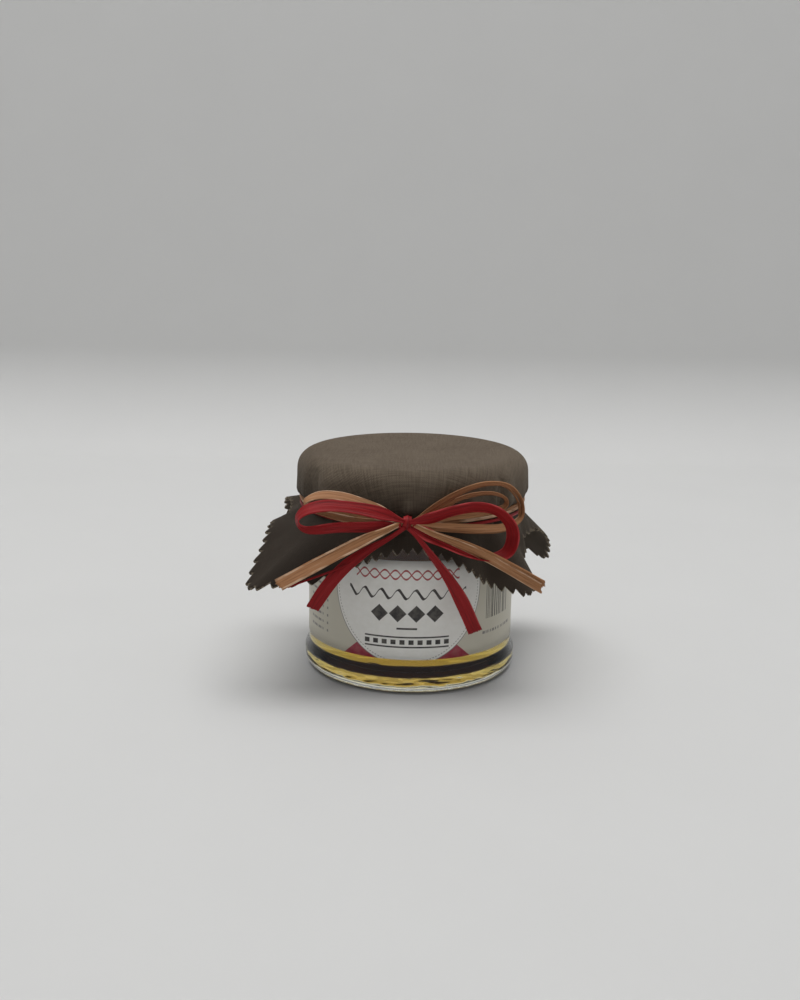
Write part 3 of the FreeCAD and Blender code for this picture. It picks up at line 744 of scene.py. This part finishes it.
# %% A strip along stations
def smooth_line(stations, steps=14):
    """A Catmull-Rom line through the stations: for each span and share s of it, half of
    2 b + (c - a) s + (2 a - 5 b + 4 c - d) s squared + (3 b - a - 3 c + d) s cubed."""
    nodes = np.array(stations, dtype=float)
    nodes = np.concatenate([[2 * nodes[0] - nodes[1]], nodes, [2 * nodes[-1] - nodes[-2]]])
    a, b, c, d = (nodes[i:len(nodes) - 3 + i, None, :] for i in range(4))
    s = np.arange(steps)[None, :, None] / steps
    line = (2 * b + (c - a) * s + (2 * a - 5 * b + 4 * c - d) * s ** 2 + (3 * b - a - 3 * c + d) * s ** 3) / 2
    return np.concatenate([line.reshape(-1, nodes.shape[1]), nodes[-2:-1]])


def strip_points(stations, width, folds, fold_depth, root=0.28, gather=8.0, seed=0, ragged=0.0,
                 across_steps=17):
    """Points of a strip whose width opens from the root over the gather length. Across it, v runs from
    -1 to 1: place = path + v x half width x wide + folds x face. The folds are waves across the strip
    whose places drift slowly along it."""
    line = smooth_line(stations)
    path, turn = line[:, :3], np.radians(line[:, 3])[:, None]
    along = np.gradient(path, axis=0)
    along /= np.linalg.norm(along, axis=1)[:, None]
    deep = np.array([0.0, 1.0, 0.0]) - along * along[:, 1:2]
    deep /= np.linalg.norm(deep, axis=1)[:, None]
    wide = deep * np.cos(turn) + np.cross(deep, along) * np.sin(turn)
    face = np.cross(along, wide)
    run = np.concatenate([[0.0], np.cumsum(np.linalg.norm(np.diff(path, axis=0), axis=1))])
    from_knot = np.linalg.norm(path - path[0], axis=1) if root < 1 else run + gather
    opened = root + (1 - root) * soft_step(from_knot, 0, gather)
    v = np.linspace(-1, 1, across_steps)
    random = np.random.default_rng(seed)
    drift = sum(random.uniform(0.2, 0.5) * np.sin(run / random.uniform(6, 14) + random.uniform(0, 6))
                for _ in range(3))[:, None]
    phase = folds * v[None] + drift * 1.6 + seed
    fold = 2 / math.pi * np.arcsin(np.sin(phase)) + 0.3 * np.sin(2.3 * phase - drift)
    fold = fold * fold_depth * (1.4 - 0.4 * opened[:, None]) * (0.7 + 0.3 * np.sin(run / 9 + seed)[:, None])
    uneven = 1 + 0.05 * np.sin(run / 7 + seed) + 0.03 * np.sin(run / 2.7 + 2 * seed)
    half = (width / 2 * opened * uneven)[:, None]
    points = path[:, None] + wide[:, None] * (half * v[None])[..., None] + face[:, None] * fold[..., None]
    torn = ragged * (random.uniform(0, 1, across_steps) + 0.6 * v)
    points[-1] += along[-1] * torn[:, None]
    points[-2] += along[-2] * torn[:, None] * 0.6
    strip_map = np.stack(np.broadcast_arrays(run[:, None], v[None] * width / 2), -1)
    return points, strip_map


def strip(name, stations, width, thickness, material, **shape):
    """A strip as a piece, moved from the knot's centre to its place and given its thickness."""
    points, strip_map = strip_points(stations, width, **shape)
    piece = grid_mesh(name, points + knot, material, flat=strip_map)
    thicken = piece.modifiers.new("paper", "SOLIDIFY")
    thicken.thickness = thickness * MM
    thicken.offset = 0
    return piece


knot = np.array([-1.8, -39.4, tie_level])
print("knot at", knot)

# %% [markdown]
# ## Finishes of the raffia and the ribbon
# Paper raffia shows fine fibres along its length, lighter on the ridges where the dye wore off. Its edges
# are paler too, partly paler paper at the fold and partly a painted highlight. The flat map runs along the
# strip and across it, so long thin noise makes the fibres. The two colours are made the same way.

# %% Fibre finish
def fibre_finish(name, dark, middle, pale, edge, **fixed):
    """Long noise along the strip in three tones, and a pale rim at edge millimetres from its middle: paler
    paper and a painted highlight.
    """
    made = Finish(name, **fixed)
    place = made.flat_map()
    across = made.coordinates(place)[1]
    fine = made.noise(made.stretched(place, (0.12, 5.0, 1)), 1.0, detail=3.0)
    coarse = made.noise(made.stretched(place, (0.05, 1.3, 1)), 1.0, detail=2.0)
    fibres = made.sum("MULTIPLY_ADD", coarse, 0.7, made.times(fine, 0.5))
    tone = made.mix(made.fade(fibres, 0.45, 0.62), dark, middle)
    tone = made.mix(made.fade(fibres, 0.7, 0.84, 0.0, 0.6), tone, pale)
    # The pale rim along each edge is partly paler paper at the fold and partly a painted highlight.
    rim = made.fade(made.sum("ABSOLUTE", across), edge - 0.22, edge - 0.02)
    patchy = made.fade(made.noise(made.stretched(place, (0.15, 0.6, 1)), 1.0), 0.4, 0.6)
    made.colour(made.mix(made.times(rim, patchy), tone, pale))
    made.raise_by(fibres, 0.25, strength=0.8)
    return made


raffia_finish = fibre_finish("natural_raffia", paint(122, 82, 52), paint(164, 116, 78), paint(206, 172, 142),
                             1.5, Roughness=0.65, Specular_IOR_Level=0.3)
ribbon_finish = fibre_finish("red_paper_ribbon", paint(104, 8, 13), paint(140, 13, 18), paint(172, 54, 56),
                             2.1, Roughness=0.55, Specular_IOR_Level=0.25)
print("fibre finishes:", raffia_finish.material.name, ribbon_finish.material.name)

# %% [markdown]
# ## The bow
# Each loop leaves the knot, swings round and comes back, and each tail runs out to its cut end. Stations
# give the path in millimetres from the knot: across, back and up, then the turn of the strip's width in
# degrees, 0 for front to back and 90 for face on. A bow has no formula: each station was measured or
# estimated on the real one and then adjusted. The raffia is a bundle that splits where it opens.

# %% Stations of the raffia
left_raffia_loop = [(-2, .2, .6, 90), (-7.3, .6, 3.2, 60), (-13, 1, 5.6, 45), (-19.5, 1.4, 7.4, 40),
                    (-26, 2, 7.6, 30), (-30.4, 2.8, 5.6, 15), (-29, 2.8, 3.2, 30), (-22, 1.6, 1.4, 45),
                    (-12, .8, -.2, 60), (-3.2, .1, -.5, 85)]
right_raffia_loop = [(2, .2, .6, 90), (7.4, .6, 4.2, 60), (13.3, 1, 8, 50), (19.3, 1.6, 10.8, 40),
                     (25, 2.6, 11.8, 35), (30.5, 4.4, 10.6, 30), (34.2, 6, 6.4, 20), (34.6, 6.2, 1.2, 20),
                     (30, 4, -1.6, 45), (21, 1.6, -1.8, 70), (11, .8, -1.4, 75), (3.2, .1, -.5, 85)]
left_raffia_tail = [(-1.6, -1.4, .3, 90), (-5.5, -3.6, -1.2, 78), (-11, -4.4, -3.6, 70), (-18, -5, -7.2, 65),
                    (-27, -6, -12.0, 62), (-37.4, -7.2, -17.7, 60)]
right_raffia_tail = [(1.8, -1.2, 0, 90), (6, -3.2, -1.6, 78), (11.5, -4.4, -3.6, 70), (17.5, -4.9, -5.9, 65),
                     (24, -5.6, -8.8, 62), (31, -7, -12.4, 60), (39.3, -8.4, -16.8, 60)]
inner_strand = [(2, .6, .8, 80), (7, 1.3, 2.9, 75), (12, 2.3, 5.2, 50), (19, 4.6, 7.6, 40),
                (25.5, 6, 8, 35), (29.6, 7.2, 6.2, 25), (29, 7.2, 3.6, 30), (22, 5, 2.2, 60),
                (12, 2.4, 1.4, 70), (3, .8, .4, 75)]


def beside(stations, across, back, up, start=0):
    """The same path, moved sideways bit by bit from the start station to the middle one and back."""
    line = np.array(stations, dtype=float)
    share = np.clip((np.arange(len(line)) - start) / (len(line) - 1 - start), 0, 1)
    line[:, :3] += np.sin(math.pi * share)[:, None] * np.array([across, back, up])
    return line


RAFFIA = raffia_finish.material
raffia_pieces = [
    strip("raffia_left_loop", left_raffia_loop, 3.2, 0.35, RAFFIA, folds=3, fold_depth=0.2, seed=3),
    strip("raffia_right_loop", right_raffia_loop, 2.6, 0.35, RAFFIA, folds=3, fold_depth=0.2, seed=5),
    strip("raffia_right_split", beside(right_raffia_loop, -.9, .6, -1.2, 4), 1.4, 0.3, RAFFIA, folds=2,
          fold_depth=0.12, seed=6),
    strip("raffia_left_tail", left_raffia_tail, 4.0, 0.35, RAFFIA, folds=3, fold_depth=0.22, seed=8,
          ragged=0.8, gather=20.0, root=0.35),
    strip("raffia_right_tail", right_raffia_tail, 3.2, 0.35, RAFFIA, folds=3, fold_depth=0.22, seed=9,
          ragged=1.0, gather=20.0, root=0.35),
    strip("raffia_right_tail_split", np.array(right_raffia_tail) + np.array([.9, -.5, 1.6, 0]) *
          np.linspace(0, 1, 7)[:, None], 2.0, 0.3, RAFFIA, folds=2, fold_depth=0.14, seed=10, ragged=0.8,
          gather=20.0),
]
inner = strip("raffia_inner_strand", inner_strand, 2.4, 0.35, RAFFIA, folds=4, fold_depth=0.18, seed=11)
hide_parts("raffia_strand")
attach(inner, "root")
print("raffia:", len(raffia_pieces) + 1, "strands")

# %% Stations of the ribbon
left_ribbon_loop = [(-.7, -1.75, .8, 90), (-8.5, -2.6, 3.6, 60), (-16.5, -3.2, 5.2, 50), (-24, -3.4, 5.6, 45),
                    (-30, -3.2, 4, 30), (-32.4, -3, .9, 15), (-29.4, -3.2, -1.8, 40), (-20, -3.2, -.9, 55),
                    (-10, -2.6, -.7, 65), (-1.7, -1.9, -.3, 85)]
right_ribbon_loop = [(.7, -1.75, .6, 90), (7, -2.6, 2.2, 60), (13.5, -3.2, 4.6, 55), (20.5, -3.6, 6, 50),
                     (26.5, -3.6, 4.8, 40), (30.6, -3.4, .8, 40), (31.4, -3.2, -4, 40), (29.4, -3.4, -8, 30),
                     (24, -3.6, -9.4, 8), (17.5, -3.6, -8.2, 4), (9.5, -2.6, -4.6, 25),
                     (1.7, -1.6, -.6, 85)]
left_ribbon_tail = [(-.5, -1.7, -1, 90), (-5.5, -2.4, -4.4, 75), (-11.5, -3.2, -7.8, 70),
                    (-17.8, -3.6, -12.6, 75), (-23, -3.2, -18.6, 80), (-27.8, -2.4, -26.2, 80)]
right_ribbon_tail = [(.5, -1.6, -1.2, 90), (3.4, -2.8, -3.8, 75), (7.6, -3.6, -9, 70),
                     (12.4, -3.4, -15.6, 75), (16.8, -1.6, -23.4, 80), (21.4, 1.4, -34, 85)]
loose_thread = [(-15, -3.6, -11.0, 80), (-21, -4.4, -13.6, 80), (-28, -5.2, -16.2, 80),
                (-35, -5.8, -18.8, 80)]

RIBBON = ribbon_finish.material
ribbon_pieces = [
    strip("ribbon_left_loop", left_ribbon_loop, 4.0, 0.35, RIBBON, folds=2.4, fold_depth=0.22, seed=21),
    strip("ribbon_right_loop", right_ribbon_loop, 4.6, 0.35, RIBBON, folds=2.2, fold_depth=0.2, seed=22),
    strip("ribbon_left_tail", left_ribbon_tail, 3.9, 0.35, RIBBON, folds=2, fold_depth=0.2, seed=23,
          ragged=0.5, gather=26.0, root=0.3),
    strip("ribbon_right_tail", right_ribbon_tail, 4.7, 0.35, RIBBON, folds=2, fold_depth=0.2, seed=24,
          ragged=0.4, gather=36.0, root=0.26),
    strip("ribbon_loose_thread", loose_thread, 0.6, 0.25, RIBBON, folds=1, fold_depth=0.05, seed=25, root=1.0,
          across_steps=5),
]
print("ribbon:", len(ribbon_pieces), "strips")

# %% [markdown]
# ## Round the neck and in the knot
# The raffia goes round the neck in one bunched band and the ribbon in another below it. Both rejoin the
# knot in front, where the ribbon's own turn wraps them. A band is a closed grid round the jar whose
# section is an oval with lengthwise creases, and the wrap is the same thing, small, round the knot.

# %% Bands and the wrap
KNOT_DIRECTION = 267.4


def band(name, radius, height, tall, thick, material, creases, seed, swell=None):
    """A ring: at turn t and section angle a, radius + thick x cosine(a) and height + tall x sine(a), each
    half of the given size, with creases that follow the section and drift round the jar."""
    turn, section = np.meshgrid(np.linspace(0, FULL_TURN, 241), np.linspace(0, FULL_TURN, 25))
    crease = 1 + 0.13 * np.sin(creases * section + 3 * np.sin(2 * turn + seed) + seed)
    out = radius + thick / 2 * np.cos(section) * crease
    up = height + tall / 2 * np.sin(section) * crease
    if swell is not None:
        out, up = swell(turn, out, up)
    points = np.stack([out * np.cos(turn), out * np.sin(turn), up], -1)
    strip_map = np.stack([radius * turn, section * tall / FULL_TURN], -1)
    return close_up(grid_mesh(name, points, material, wrap_columns=True, flat=strip_map), 0.01)


def forward_to_knot(turn, out, up):
    """Towards the knot's direction the band leaves the cloth and comes forward."""
    aside = np.abs((turn - math.radians(KNOT_DIRECTION) + math.pi) % FULL_TURN - math.pi)
    near = 1 - soft_step(np.degrees(aside), 1.5, 14)
    return out + near * 2.7, up


RAFFIA_BAND_RADIUS, RIBBON_BAND_RADIUS = 36.3, 36.4
raffia_pieces.append(band("raffia_neck_band", RAFFIA_BAND_RADIUS, tie_level, 2.0, 0.9, RAFFIA, 7, 1,
                          forward_to_knot))
ribbon_pieces.append(band("ribbon_neck_band", RIBBON_BAND_RADIUS, tie_level - 2.0, 1.0, 0.6, RIBBON, 3, 2))

wrap_turn, wrap_across = np.meshgrid(np.linspace(0, FULL_TURN, 97), np.linspace(0, FULL_TURN, 33))
crease = 0.14 * np.sin(4 * wrap_across + 1.2 * np.sin(wrap_turn) + 0.7)
wrap_radius = 1.75 + (0.38 + crease) * np.cos(wrap_across)
slant = 0.12 * wrap_radius * np.sin(wrap_turn)
wrap_points = np.stack([1.35 * np.sin(wrap_across) * (1 + 0.12 * np.cos(wrap_turn + 0.6)) + slant,
                        wrap_radius * np.cos(wrap_turn), wrap_radius * np.sin(wrap_turn)], -1)
wrap_map = np.stack([wrap_turn * 1.8, wrap_across * 0.4], -1)
ribbon_pieces.append(close_up(grid_mesh("ribbon_knot", wrap_points + knot, RIBBON, wrap_columns=True,
                                        flat=wrap_map), 0.01))

for piece in raffia_pieces:
    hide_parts("raffia_tie")
    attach(piece, "root")
for piece in ribbon_pieces:
    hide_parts("red_ribbon")
    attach(piece, "root")
print("bow:", len(raffia_pieces) + len(ribbon_pieces) + 1, "pieces")

# %% [markdown]
# ## A table top and a plain backdrop
# The floor runs up into the backdrop in one sweep, so no line crosses the picture. It is a profile of
# distance and height drawn out sideways.

# %% Floor and backdrop
COVE_START, COVE_ROUND = 0.34, 0.06
sweep_turn = np.linspace(0, math.pi / 2, 24)
cove = np.stack([COVE_START + COVE_ROUND * np.sin(sweep_turn), COVE_ROUND * (1 - np.cos(sweep_turn))], 1)
sweep = np.concatenate([[[-3.0, 0.0]], cove, [[COVE_START + COVE_ROUND, 3.0]]])
sideways = np.linspace(-3, 3, 3)
sweep_points = np.stack([np.repeat(sideways[None], len(sweep), 0),
                         np.repeat(sweep[:, :1], 3, 1), np.repeat(sweep[:, 1:], 3, 1)], -1) / MM
matt_grey = Finish("backdrop_paper", Roughness=0.85, Specular_IOR_Level=0.25)
matt_grey.colour(matt_grey.mix(matt_grey.noise(matt_grey.in_object(), 0.02, detail=2.0),
                               paint(208, 208, 207), paint(211, 211, 210)))
backdrop = grid_mesh("floor_and_backdrop", sweep_points, matt_grey.material)
print("floor runs up into the backdrop", COVE_START, "m behind the jar")

# %% [markdown]
# ## Light and camera
# A large soft lamp overhead gives the soft shadow under the skirt, and an even white world fills the rest.
# Together they light a level white surface to just about white, so each colour looks as it was written.

# %% Light
world = bpy.data.worlds.new("soft_room")
bpy.context.scene.world = world
world.use_nodes = True
world.node_tree.nodes["Background"].inputs["Color"].default_value = (1, 1, 1, 1)
world.node_tree.nodes["Background"].inputs["Strength"].default_value = 0.34

lamp_data = bpy.data.lights.new("overhead_panel", "AREA")
lamp_data.shape = "RECTANGLE"
lamp_data.size, lamp_data.size_y = 1.6, 1.2
lamp_data.energy = 21.0
lamp = bpy.data.objects.new("overhead_panel", lamp_data)
lamp.location = (-0.08, 0.15, 1.4)
bpy.context.scene.collection.objects.link(lamp)

# %% Camera
CAMERA_PLACE = (-0.00395, -0.407, 0.1472)
PITCH_DOWN, ROLL = 0.224, 0.017
camera_data = bpy.data.cameras.new("camera")
camera_data.lens = 45.8
camera_data.clip_start = 0.01
camera = bpy.data.objects.new("camera", camera_data)
camera.matrix_world = (Matrix.Translation(CAMERA_PLACE) @ Matrix.Rotation(math.pi / 2 - PITCH_DOWN, 4, "X")
                       @ Matrix.Rotation(ROLL, 4, "Z"))
bpy.context.scene.collection.objects.link(camera)
bpy.context.scene.camera = camera
bpy.context.scene.view_settings.view_transform = "Standard"
print("camera at", tuple(round(value, 3) for value in camera.location))
